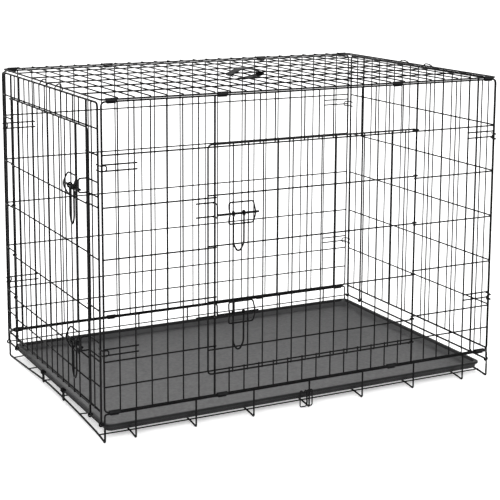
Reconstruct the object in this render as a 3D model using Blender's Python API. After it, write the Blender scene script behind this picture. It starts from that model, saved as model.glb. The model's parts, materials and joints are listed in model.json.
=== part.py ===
"""Folding two-door wire dog crate, for Blender 4.5. Metres, +Z up.

The origin is under the middle floor wire, on the surface that the crate stands on.
+X runs along the crate's length, and the side door faces -Y. The left end, at -X,
carries the second door. Each object is one piece, parented to the empty of the body
that it moves with, and each empty lies on its body's joint axis.
"""

import math

import bmesh
import bpy
from mathutils import Matrix, Vector

# Driving dimensions
PITCH = 0.0395
LONG_GAPS = 27
SHORT_GAPS = 18
LEVEL = 0.118
LEVELS = 6
SIDE_RAIL_Z = 0.074
THICK = 0.0024
THIN = 0.0016
ROD = 0.003
WELD_GAP = 0.0003

# Derived sizes of the frame
LENGTH = LONG_GAPS * PITCH
WIDTH = SHORT_GAPS * PITCH
HALF_L = LENGTH / 2
HALF_W = WIDTH / 2
SIDE_TOP_Z = SIDE_RAIL_Z + LEVELS * LEVEL
RAIL_GAP = 0.0004
RAIL_PAIR = 2 * THICK + RAIL_GAP
FLOOR_RAIL_Z = SIDE_RAIL_Z - RAIL_PAIR
TOP_Z = SIDE_TOP_Z + RAIL_PAIR
END_X = HALF_L + RAIL_PAIR
END_EDGE_Y = 0.3465
END_TOP_Z = 0.7805
END_HINGE_Z = 0.044
CORNER_RADIUS = 0.010
CROSS_OFFSET = 0.0029
HEADER_OVERHANG = 0.0005
DOORWAY_OVERHANG = 0.0015
RUNG_LEVELS = (1.18, 1.30, 4.75, 4.87)
RUNG_LENGTH = 2 * PITCH + 0.006
LEVEL_OFFSET = -0.0008
DOORWAY_LEVEL_OFFSET = -0.0010

# Doors, measured in panel gaps from the panel's first wire
SIDE_LATCH_GAP = 7
SIDE_HINGE_GAP = 21
END_LATCH_Y = -7 * PITCH
END_HINGE_Y = 7 * PITCH
SIDE_LATCH_X = SIDE_LATCH_GAP * PITCH - HALF_L
SIDE_HINGE_X = SIDE_HINGE_GAP * PITCH - HALF_L
DOOR_OFFSET = 0.0054
DOOR_EDGE_OVERHANG = 0.020
DOOR_HINGE_SETBACK = 0.0094
DOOR_BAR_PITCH = 0.0393
DOOR_BAR_SHIFT = 0.0037
DOOR_BARS = 13
ARM_OVERLAP = 0.004
CURL_LIFT = 0.0004
CURL_RADIUS = 0.0048
CURL_SINK = 0.0007
END_FOOT_Z = END_HINGE_Z + CURL_RADIUS - CURL_SINK
SIDE_LATCH_LEVELS = {"upper": 0.508, "lower": 0.271}
END_LATCH_LEVELS = {"upper": 0.576, "lower": 0.208}

# Latch, measured from the latch post and out from the panel's plane
ROD_OUT = 0.0173
ROD_SPAN = (-0.0010, 0.105)
BRACKET_SPAN = (0.0307, 0.0935)
BRACKET_WAIST = 0.0043
BRACKET_HALF_HEIGHT = 0.0255
BRACKET_OUT = 0.0118
ARCH_OUT = 0.0224
ARCH_HALF_HEIGHT = 0.006
PULL_LEGS = (0.0386, 0.0666)
PULL_DROP = 0.090
PULL_CURL = 0.0054
KEEPER_STEP = -0.0043
KEEPER_LEGS = (0.0270, -0.0058)
KEEPER_START = 0.003
KEEPER_BEND = 0.006
KEEPER_STUB_X = SIDE_LATCH_X - 0.0475

# Floor basket and pan
FLOOR_LEG_GAPS = 7
FLOOR_BAR = 0.0048
FLOOR_BAR_END_Y = 0.345
FLOOR_LONG_SPACING = 0.128
FLOOR_BOW = ((0.345, 0.0048), (0.300, 0.0072), (0.190, 0.0132), (0.060, 0.0178))
FLOOR_LONG_SINK = 0.0008
FLOOR_LEG = 0.0022
FLOOR_LEG_BEND = 0.0046
BACK_RUN_Z = 0.042
PAN_HALF_L = 0.527
PAN_HALF_W = 0.342
PAN_BOTTOM_Z = 0.0192
PAN_TOP_Z = 0.0368
PAN_WALL = 0.0022
PAN_CORNER = 0.020
PAN_BASE_INSET = 0.007
PAN_RIM = 0.008
PAN_WALL_SLOPE = 0.010

# Rail clips, pan stops and carrying strap
CLIP_PLACES = (-0.5092, -0.237, 0.237, 0.5092)
CLIP_LENGTH = 0.026
PAN_STOP_Y = (0.059, -0.091)
PAN_STOP_HALF_WIDTH = 0.004
PAN_STOP_TIP_Z = 0.0185
STRAP_WIRES = (-1.5 * PITCH, 0.5 * PITCH)
STRAP_Y = -0.043
STRAP_WIDTH = 0.034
STRAP_THICK = 0.003
STRAP_RISE = 0.016
STRAP_RAMP = 0.022
STRAP_PLAY = 0.0004

COLLECTION = "wire_dog_crate"
HELPERS = "helpers"


def clear_scene():
    for obj in list(bpy.data.objects):
        bpy.data.objects.remove(obj, do_unlink=True)


def new_collection(name):
    collection = bpy.data.collections.new(name)
    bpy.context.scene.collection.children.link(collection)
    return collection


def principled(name, colour, roughness, metallic=0.0):
    material = bpy.data.materials.new(name)
    material.use_nodes = True
    shader = material.node_tree.nodes["Principled BSDF"]
    shader.inputs["Base Color"].default_value = (*colour, 1.0)
    shader.inputs["Roughness"].default_value = roughness
    shader.inputs["Metallic"].default_value = metallic
    return material


class Plane:
    """A panel's plane: u runs along it, v up or across it, and out away from the crate."""

    def __init__(self, origin, u, v, out):
        self.origin = Vector(origin)
        self.u = Vector(u)
        self.v = Vector(v)
        self.out = Vector(out)

    def at(self, u, v, out=0.0):
        return self.origin + self.u * u + self.v * v + self.out * out

    def matrix(self):
        axes = Matrix((self.u, self.v, self.out)).transposed()
        return Matrix.Translation(self.origin) @ axes.to_4x4()


FRONT = Plane((0, -HALF_W, 0), (1, 0, 0), (0, 0, 1), (0, -1, 0))
BACK = Plane((0, HALF_W, 0), (1, 0, 0), (0, 0, 1), (0, 1, 0))
TOP = Plane((0, 0, TOP_Z), (1, 0, 0), (0, 1, 0), (0, 0, 1))
LEFT = Plane((-END_X, 0, 0), (0, 1, 0), (0, 0, 1), (-1, 0, 0))
RIGHT = Plane((END_X, 0, 0), (0, 1, 0), (0, 0, 1), (1, 0, 0))


def evaluated_mesh(obj, name):
    bpy.context.view_layer.update()
    graph = bpy.context.evaluated_depsgraph_get()
    mesh = bpy.data.meshes.new_from_object(obj.evaluated_get(graph))
    mesh.name = name
    return mesh


def wires(name, paths, radius, sides=4, closed=False):
    """A mesh object of round wires along straight-sided paths, each with its own caps."""
    curve = bpy.data.curves.new(name, "CURVE")
    curve.dimensions = "3D"
    curve.bevel_depth = radius
    curve.bevel_resolution = sides // 2 - 2
    curve.use_fill_caps = True
    for path in paths:
        spline = curve.splines.new("POLY")
        spline.points.add(len(path) - 1)
        for point, place in zip(spline.points, path):
            point.co = (*place, 1.0)
        spline.use_cyclic_u = closed
    guide = bpy.data.objects.new(name, curve)
    helpers.objects.link(guide)
    mesh = evaluated_mesh(guide, name)
    bpy.data.objects.remove(guide)
    return welded_object(name, mesh)


def face_outwards(mesh):
    shape = bmesh.new()
    shape.from_mesh(mesh)
    bmesh.ops.recalc_face_normals(shape, faces=shape.faces)
    shape.to_mesh(mesh)
    shape.free()


def welded_object(name, mesh):
    shape = bmesh.new()
    shape.from_mesh(mesh)
    bmesh.ops.remove_doubles(shape, verts=shape.verts, dist=0.00001)
    bmesh.ops.recalc_face_normals(shape, faces=shape.faces)
    shape.to_mesh(mesh)
    shape.free()
    obj = bpy.data.objects.new(name, mesh)
    helpers.objects.link(obj)
    return obj


def joined(name, base, *others):
    """One solid from a base and the pieces welded to it."""
    for other in others:
        modifier = base.modifiers.new(other.name, "BOOLEAN")
        modifier.operation = "UNION"
        modifier.solver = "EXACT"
        modifier.object = other
    mesh = evaluated_mesh(base, name)
    for obj in (base, *others):
        bpy.data.objects.remove(obj)
    result = bpy.data.objects.new(name, mesh)
    helpers.objects.link(result)
    return result


def arc(centre, start, end, radius, steps=3):
    """Points (u, v) along an arc, its angles in degrees."""
    angles = (math.radians(start + (end - start) * i / steps) for i in range(steps + 1))
    return [(centre[0] + radius * math.cos(a), centre[1] + radius * math.sin(a)) for a in angles]


def rounded_rectangle(low, high, radius, steps=3):
    corners = (
        ((high[0] - radius, high[1] - radius), 0),
        ((low[0] + radius, high[1] - radius), 90),
        ((low[0] + radius, low[1] + radius), 180),
        ((high[0] - radius, low[1] + radius), 270),
    )
    return [point for centre, turn in corners for point in arc(centre, turn, turn + 90, radius, steps)]


def plane_wires(name, plane, paths, radius, sides=4, closed=False):
    """Wires drawn flat from (u, v, out) points, and then stood in the panel's plane."""
    obj = wires(name, paths, radius, sides, closed)
    obj.data.transform(plane.matrix())
    face_outwards(obj.data)
    return obj


def frame_loop(plane, low, high, out=0.0, radius=CORNER_RADIUS):
    points = [(u, v, out) for u, v in rounded_rectangle(low, high, radius)]
    return plane_wires("frame_loop", plane, [points], THICK, sides=6, closed=True)


def level_wires(plane, spans, out=LEVEL_OFFSET):
    """Thin wires along u. A span is (height, from, to)."""
    return plane_wires("levels", plane, [[(a, v, out), (b, v, out)] for v, a, b in spans], THIN)


def cross_wires(plane, spans, out=CROSS_OFFSET):
    """Thin wires along v. A span is (place, from, to)."""
    return plane_wires("crossings", plane, [[(u, a, out), (u, b, out)] for u, a, b in spans], THIN)


def posts(plane, places, low, high):
    paths = [[(u, low, 0), (u, high, 0)] for u in places]
    return plane_wires("posts", plane, paths, THICK, sides=6)


def curl(centre, across, along, radius=CURL_RADIUS, steps=8):
    """A ring of thin wire whose plane holds the two given directions."""
    turn = 2 * math.pi / steps
    return [
        centre + (across * math.cos(turn * i) + along * math.sin(turn * i)) * radius
        for i in range(steps)
    ]


def long_place(gap):
    return gap * PITCH - HALF_L


def level_height(count):
    """The height of a level, counted down from the side panels' top rail."""
    return SIDE_TOP_Z - count * LEVEL


def corner_rungs():
    """Pairs of short wires near each corner post, which the end panels' hooks reach round."""
    spans = []
    for count in RUNG_LEVELS:
        spans.append((level_height(count), -HALF_L, RUNG_LENGTH - HALF_L))
        spans.append((level_height(count), HALF_L - RUNG_LENGTH, HALF_L))
    return spans


def side_section(outer, post):
    """The thick wires beside a doorway: corner post, doorway post and the rails between them."""
    away = math.copysign(1, outer)
    centre = outer - away * CORNER_RADIUS
    outline = [(post, SIDE_RAIL_Z), (post, SIDE_TOP_Z)]
    corner = arc((0, SIDE_TOP_Z - CORNER_RADIUS), 90, 0, CORNER_RADIUS)
    corner += arc((0, SIDE_RAIL_Z + CORNER_RADIUS), 0, -90, CORNER_RADIUS)
    outline += [(centre + away * u, v) for u, v in corner]
    points = [(u, v, 0) for u, v in outline]
    return plane_wires("section", FRONT, [points], THICK, sides=6, closed=True)


def front_section(name, outer, post, gaps, extra_spans):
    """The front panel on one side of the doorway."""
    spans = [(level_height(count), outer, post) for count in (1, 2, 3, 4, 5, 5.5)]
    spans += [span for span in corner_rungs() if outer in span]
    uprights = [(long_place(gap), SIDE_RAIL_Z, SIDE_TOP_Z) for gap in gaps]
    return joined(
        name,
        side_section(outer, post),
        level_wires(FRONT, spans + extra_spans, out=-LEVEL_OFFSET),
        cross_wires(FRONT, uprights, out=-CROSS_OFFSET),
    )


def front_left_section():
    stubs = []
    for height in SIDE_LATCH_LEVELS.values():
        stubs += [(height + leg, KEEPER_STUB_X, SIDE_LATCH_X) for leg in KEEPER_LEGS]
    gaps = range(1, SIDE_LATCH_GAP)
    return front_section("front_panel_left", -HALF_L, SIDE_LATCH_X, gaps, stubs)


def front_right_section():
    gaps = range(SIDE_HINGE_GAP + 1, LONG_GAPS)
    return front_section("front_panel_right", HALF_L, SIDE_HINGE_X, gaps, [])


def doorway_edge(name, rail, level, uprights):
    """The front panel above or below the doorway, welded between the two doorway posts."""
    reach = THICK + WELD_GAP
    ends = (SIDE_LATCH_X + reach, SIDE_HINGE_X - reach)
    gaps = range(SIDE_LATCH_GAP + 1, SIDE_HINGE_GAP)
    run = [[(u, rail, 0) for u in ends]]
    return joined(
        name,
        plane_wires("rail", FRONT, run, THICK, sides=6),
        level_wires(FRONT, [(level, *ends)], out=DOORWAY_LEVEL_OFFSET),
        cross_wires(FRONT, [(long_place(gap), *uprights) for gap in gaps], out=-CROSS_OFFSET),
    )


def front_header():
    level = level_height(1)
    return doorway_edge("front_panel_header", SIDE_TOP_Z, level, (level - DOORWAY_OVERHANG, SIDE_TOP_Z))


def front_sill():
    level = level_height(5.5)
    return doorway_edge("front_panel_sill", SIDE_RAIL_Z, level, (SIDE_RAIL_Z, level + DOORWAY_OVERHANG))


def back_panel():
    spans = [(level_height(count), -HALF_L, HALF_L) for count in (1, 2, 3, 4, 5, 5.5)]
    uprights = [(long_place(gap), SIDE_RAIL_Z, SIDE_TOP_Z) for gap in range(1, LONG_GAPS)]
    return joined(
        "back_panel",
        frame_loop(BACK, (-HALF_L, SIDE_RAIL_Z), (HALF_L, SIDE_TOP_Z)),
        level_wires(BACK, spans + corner_rungs()),
        cross_wires(BACK, uprights),
    )


def top_panel():
    spans = [(-HALF_W + WIDTH * i / LEVELS, -HALF_L, HALF_L) for i in range(1, LEVELS)]
    bars = [(long_place(gap), -HALF_W, HALF_W) for gap in range(1, LONG_GAPS)]
    return joined(
        "top_panel",
        frame_loop(TOP, (-HALF_L, -HALF_W), (HALF_L, HALF_W)),
        level_wires(TOP, spans),
        cross_wires(TOP, bars),
    )


def end_curls(plane):
    """Curls of the end panel's own wires, which turn round the hinge wire."""
    rings = []
    for y in (-END_EDGE_Y, END_LATCH_Y, END_HINGE_Y, END_EDGE_Y):
        rings.append(curl(plane.at(y, END_HINGE_Z), plane.out, plane.v))
    return wires("curls", rings, THIN, closed=True)


def end_frame(plane):
    """The thick outer wire: up one edge from its curl, across the top, and down the other."""
    centre_v = END_TOP_Z - CORNER_RADIUS
    centre_u = END_EDGE_Y - CORNER_RADIUS
    top = arc((centre_u, centre_v), 0, 90, CORNER_RADIUS)
    top += arc((-centre_u, centre_v), 90, 180, CORNER_RADIUS)
    outline = [(END_EDGE_Y, END_FOOT_Z), *top, (-END_EDGE_Y, END_FOOT_Z)]
    path = [(u, v, 0) for u, v in outline]
    return plane_wires("frame", plane, [path], THICK, sides=6)


def end_bottom_wire(plane):
    ends = [(-END_EDGE_Y, SIDE_RAIL_Z, 0), (END_EDGE_Y, SIDE_RAIL_Z, 0)]
    return plane_wires("bottom", plane, [ends], THICK, sides=6)


def end_panel(name, plane, spans, uprights):
    """An end panel: frame, bottom wire, two posts down to the hinge wire, and its grid."""
    return joined(
        name,
        end_frame(plane),
        end_bottom_wire(plane),
        posts(plane, (END_LATCH_Y, END_HINGE_Y), END_FOOT_Z, END_TOP_Z),
        level_wires(plane, spans),
        cross_wires(plane, uprights),
        end_curls(plane),
    )


def right_end_panel():
    spans = [(level_height(count), -END_EDGE_Y, END_EDGE_Y) for count in (1, 2, 3, 4, 5)]
    uprights = [((gap - 9) * PITCH, SIDE_RAIL_Z, END_TOP_Z) for gap in range(1, SHORT_GAPS)]
    uprights = [span for span in uprights if abs(abs(span[0]) - END_HINGE_Y) > PITCH / 2]
    return end_panel("right_end_panel", RIGHT, spans, uprights)


def left_end_panel():
    spans = [(level_height(0.5), -END_EDGE_Y, END_EDGE_Y)]
    for count in (1, 2, 3, 4, 5, 5.5):
        spans.append((level_height(count), -END_EDGE_Y, END_LATCH_Y))
        spans.append((level_height(count), END_HINGE_Y, END_EDGE_Y))
    for height in END_LATCH_LEVELS.values():
        for leg in KEEPER_LEGS:
            stub = height + leg
            if all(abs(stub - taken) > 2 * THICK for taken, *_ in spans):
                spans.append((stub, -END_EDGE_Y, END_LATCH_Y))
    header_foot = level_height(0.5) - HEADER_OVERHANG
    uprights = [((gap - 9) * PITCH, header_foot, END_TOP_Z) for gap in range(3, 16)]
    uprights += [((gap - 9) * PITCH, SIDE_RAIL_Z, END_TOP_Z) for gap in (1, 17)]
    return end_panel("left_end_panel", LEFT, spans, uprights)


def door_frame(plane, free, shut, low, high):
    """The door's thick wire: along the top, down the free edge and back along the bottom."""
    centre = free + CORNER_RADIUS
    bends = arc((centre, high - CORNER_RADIUS), 90, 180, CORNER_RADIUS)
    bends += arc((centre, low + CORNER_RADIUS), 180, 270, CORNER_RADIUS)
    path = [(u, v, DOOR_OFFSET) for u, v in [(shut, high), *bends, (shut, low)]]
    return plane_wires("frame", plane, [path], THICK, sides=6)


def door(name, plane, latch, hinge, edges, counts, curl_counts):
    """A door outside its panel: a frame, its grid, and curls round the hinge post."""
    low, high = (level_height(count) for count in edges)
    free = latch - DOOR_EDGE_OVERHANG
    shut = hinge - DOOR_HINGE_SETBACK
    spans = []
    for count in counts:
        spans.append((level_height(count), free, hinge if count in curl_counts else shut))
    heights = [level_height(count) for count in curl_counts]
    arms = [(height, shut - ARM_OVERLAP, hinge) for height in (heights[0], heights[-1])]
    places = [latch + gap * DOOR_BAR_PITCH + DOOR_BAR_SHIFT for gap in range(1, DOOR_BARS + 1)]
    rings = [curl(plane.at(hinge, height + CURL_LIFT), plane.u, plane.out) for height in heights]
    return joined(
        name,
        door_frame(plane, free, shut, low, high),
        level_wires(plane, spans, out=DOOR_OFFSET + LEVEL_OFFSET),
        cross_wires(plane, [(u, low, high) for u in places], out=DOOR_OFFSET + CROSS_OFFSET),
        level_wires(plane, arms, out=DOOR_OFFSET - CURL_LIFT),
        wires("curls", rings, THIN, closed=True),
    )


def side_door_panel():
    counts = (1.94, 2.95, 4.07, 5.05)
    edges = (5.55, 0.94)
    return door("side_door_panel", FRONT, SIDE_LATCH_X, SIDE_HINGE_X, edges, counts, (0.965, *counts, 5.56))


def end_door_panel():
    counts = (2.0, 2.94, 4.07, 5.05, 5.5)
    edges = (5.99, 0.525)
    curls = (0.547, 2.94, 4.07, 5.05, 5.967)
    return door("end_door_panel", LEFT, END_LATCH_Y, END_HINGE_Y, edges, counts, curls)


def latch_bracket(name, plane, post, height):
    """The six-sided wire guide that holds the bolt against the door."""
    near, far = (post + span for span in BRACKET_SPAN)
    corner = (BRACKET_HALF_HEIGHT, BRACKET_OUT)
    arch = (ARCH_HALF_HEIGHT, ARCH_OUT)
    outline = (
        (near, corner[0], corner[1]),
        (far, corner[0], corner[1]),
        (far, arch[0], arch[1]),
        (far, -arch[0], arch[1]),
        (far, -corner[0], corner[1]),
        (near, -corner[0], corner[1]),
        (near - BRACKET_WAIST, -arch[0], arch[1]),
        (near - BRACKET_WAIST, arch[0], arch[1]),
    )
    points = [(u, height + v, out) for u, v, out in outline]
    return joined(name, plane_wires("bracket", plane, [points], THIN, sides=6, closed=True))


def latch_bolt(name, plane, post, height):
    ends = [(post + u, height, ROD_OUT) for u in ROD_SPAN]
    return joined(name, plane_wires("bolt", plane, [ends], ROD, sides=8))


def latch_pull(name, plane, post, height):
    """The hanging U-shaped pull, whose two ends curl round the bolt."""
    left, right = (post + leg for leg in PULL_LEGS)
    bend = (right - left) / 2
    top = height - PULL_CURL + CURL_SINK
    bottom = height - PULL_DROP + bend
    outline = [(left, top), *arc(((left + right) / 2, bottom), 180, 360, bend, 4), (right, top)]
    legs = plane_wires("legs", plane, [[(u, v, ROD_OUT) for u, v in outline]], THIN, sides=6)
    rings = [curl(plane.at(u, height, ROD_OUT), plane.out, plane.v, PULL_CURL) for u in (left, right)]
    return joined(name, legs, wires("rings", rings, THIN, closed=True))


def latch_keeper(name, plane, post, height):
    """The wire staple beside the latch post that the bolt slides through."""
    place = post + KEEPER_STEP
    upper, lower = KEEPER_LEGS
    bend = KEEPER_BEND
    outline = [(KEEPER_START, upper)]
    outline += arc((ARCH_OUT - bend, upper - bend), 90, 0, bend, 2)
    outline += arc((ARCH_OUT - bend, lower + bend), 0, -90, bend, 2)
    outline.append((KEEPER_START, lower))
    points = [(place, height + v, out) for out, v in outline]
    return joined(name, plane_wires("keeper", plane, [points], THIN, sides=6))


def bow_height(y):
    """The height of the floor wires' tops, which bow up towards the middle."""
    y = abs(y)
    for (outer, low), (inner, high) in zip(FLOOR_BOW, FLOOR_BOW[1:]):
        if y >= inner:
            return high + (low - high) * (y - inner) / (outer - inner)
    return FLOOR_BOW[-1][1]


def floor_bar(x):
    """A floor wire as a thin bar, bowed on top and filled down to a flat underside."""
    edge = [(-y, z) for y, z in FLOOR_BOW] + [(y, z) for y, z in reversed(FLOOR_BOW)]
    outline = [(-FLOOR_BAR_END_Y, 0), *edge, (FLOOR_BAR_END_Y, 0)]
    shape = bmesh.new()
    near, far = (
        [shape.verts.new((x + side * FLOOR_BAR / 2, y, z)) for y, z in outline] for side in (-1, 1)
    )
    shape.faces.new(near)
    shape.faces.new(reversed(far))
    for i in range(len(outline)):
        shape.faces.new((near[i - 1], far[i - 1], far[i], near[i]))
    return shape


def floor_leg_places():
    inner = [(i + 0.5) * LENGTH / FLOOR_LEG_GAPS - HALF_L for i in range(FLOOR_LEG_GAPS)]
    return [-HALF_L, *inner, HALF_L]


def floor_grid():
    mesh = bpy.data.meshes.new("bars")
    bars = bmesh.new()
    for x in floor_leg_places():
        one = floor_bar(x)
        one.to_mesh(mesh)
        one.free()
        bars.from_mesh(mesh)
    bars.to_mesh(mesh)
    bars.free()
    base = welded_object("bars", mesh)
    runs = []
    for i in range(6):
        y = (i - 2.5) * FLOOR_LONG_SPACING
        z = bow_height(y) - FLOOR_LONG_SINK
        runs.append([Vector((x, y, z)) for x in (-HALF_L, HALF_L)])
    return joined("floor_grid", base, wires("runs", runs, THIN))


def floor_fence(name, side, extra_levels=()):
    """The basket's upstand: a rail, and the floor wires' legs that turn in under the pan."""
    y = side * HALF_W
    foot = side * (FLOOR_BAR_END_Y + WELD_GAP)
    legs = []
    for x in floor_leg_places():
        legs.append([
            Vector((x, y, FLOOR_RAIL_Z)),
            Vector((x, y, FLOOR_BAR / 2 + FLOOR_LEG_BEND)),
            Vector((x, y - side * FLOOR_LEG_BEND, FLOOR_BAR / 2)),
            Vector((x, foot, FLOOR_BAR / 2)),
        ])
    rail = [[Vector((-HALF_L, y, FLOOR_RAIL_Z)), Vector((HALF_L, y, FLOOR_RAIL_Z))]]
    pieces = [wires("rail", rail, THICK, sides=6), wires("legs", legs, FLOOR_LEG)]
    for height in extra_levels:
        run = [Vector((x, y - side * FLOOR_LEG, height)) for x in (-HALF_L, HALF_L)]
        pieces.append(wires("run", [run], THIN))
    return joined(name, *pieces)


def hinge_wire(name, side):
    """The wire across each end of the basket that the end panel turns on."""
    reach = HALF_W - THICK - 0.0002
    ends = [Vector((side * END_X, y, END_HINGE_Z)) for y in (-reach, reach)]
    return joined(name, wires("hinge", [ends], THICK, sides=6))


def pan():
    """The slide-out tray: a block with rounded corners, hollowed from above."""
    shape = bmesh.new()
    bmesh.ops.create_cube(shape, size=1.0)
    size = (2 * PAN_HALF_L, 2 * PAN_HALF_W, PAN_TOP_Z - PAN_BOTTOM_Z)
    bmesh.ops.scale(shape, vec=size, verts=shape.verts)
    bmesh.ops.translate(shape, vec=(0, 0, (PAN_TOP_Z + PAN_BOTTOM_Z) / 2), verts=shape.verts)
    uprights = [e for e in shape.edges if abs(e.verts[0].co.z - e.verts[1].co.z) > 0.001]
    bmesh.ops.bevel(shape, geom=uprights, offset=PAN_CORNER, segments=4, affect="EDGES", profile=0.5)
    shape.faces.ensure_lookup_table()
    shape.normal_update()
    base = min(shape.faces, key=lambda face: face.calc_center_median().z)
    for vert in base.verts:
        vert.co.x -= math.copysign(PAN_BASE_INSET, vert.co.x)
        vert.co.y -= math.copysign(PAN_BASE_INSET, vert.co.y)
    mouth = max(shape.faces, key=lambda face: face.calc_center_median().z)
    bmesh.ops.inset_region(shape, faces=[mouth], thickness=PAN_RIM)
    bmesh.ops.inset_region(shape, faces=[mouth], thickness=PAN_WALL_SLOPE)
    drop = PAN_TOP_Z - PAN_BOTTOM_Z - PAN_WALL
    bmesh.ops.translate(shape, vec=(0, 0, -drop), verts=mouth.verts)
    mesh = bpy.data.meshes.new("pan")
    shape.to_mesh(mesh)
    shape.free()
    return joined("pan", welded_object("tray", mesh))


def stadium(radius, spacing, steps=3):
    """A closed outline round two circles, one straight above the other."""
    upper = arc((0, spacing / 2), 0, 180, radius, steps)
    return upper + arc((0, -spacing / 2), 180, 360, radius, steps)


def rail_clip(name, x, side, height):
    """A folded steel sleeve round a pair of rails, centred between them."""
    curve = bpy.data.curves.new(name, "CURVE")
    curve.dimensions = "2D"
    curve.fill_mode = "BOTH"
    curve.extrude = CLIP_LENGTH / 2
    for radius in (0.0039, 0.0030):
        outline = stadium(radius, RAIL_PAIR)
        spline = curve.splines.new("POLY")
        spline.points.add(len(outline) - 1)
        for point, (u, v) in zip(spline.points, outline):
            point.co = (u, v, 0, 1)
        spline.use_cyclic_u = True
    guide = bpy.data.objects.new(name, curve)
    guide.rotation_euler = (math.pi / 2, 0, math.pi / 2)
    guide.location = (x, side * HALF_W, height)
    helpers.objects.link(guide)
    mesh = evaluated_mesh(guide, name)
    mesh.transform(guide.matrix_world)
    bpy.data.objects.remove(guide)
    return joined(name, welded_object("sleeve", mesh))


def pan_stop(name, y):
    """A narrow hairpin that hangs from the left hinge wire and stops the pan."""
    half = PAN_STOP_HALF_WIDTH
    top = END_HINGE_Z - CURL_RADIUS + CURL_SINK
    outline = [(y - half, top), *arc((y, PAN_STOP_TIP_Z + half), 180, 360, half, 4), (y + half, top)]
    path = [(u, v, 0) for u, v in outline]
    legs = plane_wires("legs", LEFT, [path], THIN, sides=6)
    centres = [LEFT.at(u, END_HINGE_Z) for u in (y - half, y + half)]
    rings = [curl(centre, LEFT.out, LEFT.v) for centre in centres]
    return joined(name, legs, wires("rings", rings, THIN, closed=True))


def carry_strap():
    """A moulded strap whose ends close round two of the top panel's cross wires."""
    left, right = STRAP_WIRES
    wire_z = TOP_Z + CROSS_OFFSET
    grip = THIN + STRAP_PLAY
    outer = grip + STRAP_THICK
    crown = wire_z + STRAP_RISE
    parts = []
    for x in STRAP_WIRES:
        rims = [[(x + a, wire_z + b) for a, b in arc((0, 0), 0, 330, size, 11)] for size in (outer, grip)]
        parts.append(strap_profile(rims))
    foot = wire_z + outer * 0.8
    upper = [
        (left - outer * 0.3, foot),
        (left + STRAP_RAMP, crown),
        (right - STRAP_RAMP, crown),
        (right + outer * 0.3, foot),
    ]
    foot = wire_z + grip + 0.0008
    ramp = STRAP_RAMP + STRAP_THICK / 2
    lower = [
        (left + outer * 0.2, foot),
        (left + ramp, crown - STRAP_THICK),
        (right - ramp, crown - STRAP_THICK),
        (right - outer * 0.2, foot),
    ]
    parts.append(strap_profile([upper + lower[::-1]]))
    return joined("carry_strap", *parts)


def strap_profile(outlines):
    curve = bpy.data.curves.new("strap", "CURVE")
    curve.dimensions = "2D"
    curve.fill_mode = "BOTH"
    curve.extrude = STRAP_WIDTH / 2
    for outline in outlines:
        spline = curve.splines.new("POLY")
        spline.points.add(len(outline) - 1)
        for point, (u, v) in zip(spline.points, outline):
            point.co = (u, v, 0, 1)
        spline.use_cyclic_u = True
    guide = bpy.data.objects.new("strap", curve)
    guide.rotation_euler = (math.pi / 2, 0, 0)
    guide.location = (0, STRAP_Y, 0)
    helpers.objects.link(guide)
    mesh = evaluated_mesh(guide, "strap")
    mesh.transform(guide.matrix_world)
    bpy.data.objects.remove(guide)
    return welded_object("strap", mesh)


def empty(name, place, parent=None):
    """The empty of one moving body, on its joint axis."""
    obj = bpy.data.objects.new(name, None)
    obj.empty_display_size = 0.05
    obj.location = Vector(place) - (parent["place"] if parent else Vector())
    obj.parent = parent["empty"] if parent else None
    crate.objects.link(obj)
    return {"empty": obj, "place": Vector(place)}


def ride(obj, body, material):
    """Puts a finished piece on its body, with its origin on the body's axis."""
    obj.data.transform(Matrix.Translation(-body["place"]))
    obj.parent = body["empty"]
    obj.data.materials.clear()
    obj.data.materials.append(material)
    helpers.objects.unlink(obj)
    crate.objects.link(obj)


def build():
    floor = empty("floor_origin", (0, 0, 0))
    for piece in (
        floor_grid(),
        floor_fence("floor_front_fence", -1),
        floor_fence("floor_back_fence", 1, extra_levels=(BACK_RUN_Z,)),
        hinge_wire("left_hinge_wire", -1),
        hinge_wire("right_hinge_wire", 1),
    ):
        ride(piece, floor, black_wire)
    ride(pan(), empty("pan_slide", (0, 0, PAN_BOTTOM_Z), floor), pan_plastic)
    build_sides_and_top(floor)
    build_left_end(floor)
    right_end = empty("right_end_hinge", (END_X, 0, END_HINGE_Z), floor)
    ride(right_end_panel(), right_end, black_wire)
    for i, y in enumerate(PAN_STOP_Y, 1):
        hinge = empty(f"pan_stop_{i}_hinge", (-END_X, y, END_HINGE_Z), floor)
        ride(pan_stop(f"pan_stop_{i}", y), hinge, black_wire)


def build_sides_and_top(floor):
    front = empty("front_side_hinge", (0, -HALF_W, FLOOR_RAIL_Z), floor)
    back = empty("back_side_hinge", (0, HALF_W, FLOOR_RAIL_Z), floor)
    top = empty("top_hinge", (0, HALF_W, TOP_Z), back)
    for piece in (front_left_section(), front_right_section(), front_header(), front_sill()):
        ride(piece, front, black_wire)
    ride(back_panel(), back, black_wire)
    ride(top_panel(), top, black_wire)
    ride(carry_strap(), top, strap_plastic)
    rail_heights = {
        "bottom": (SIDE_RAIL_Z + FLOOR_RAIL_Z) / 2,
        "top": (SIDE_TOP_Z + TOP_Z) / 2,
    }
    for label, side, body in (("front", -1, front), ("back", 1, back)):
        for edge, height in rail_heights.items():
            for i, x in enumerate(CLIP_PLACES, 1):
                clip = rail_clip(f"{label}_{edge}_rail_clip_{i}", x, side, height)
                ride(clip, body, clip_steel)
    hinge = empty("side_door_hinge", (SIDE_HINGE_X, -HALF_W, SIDE_RAIL_Z), front)
    ride(side_door_panel(), hinge, black_wire)
    build_latches("side_door", FRONT, SIDE_LATCH_X, SIDE_LATCH_LEVELS, front, hinge)


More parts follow.
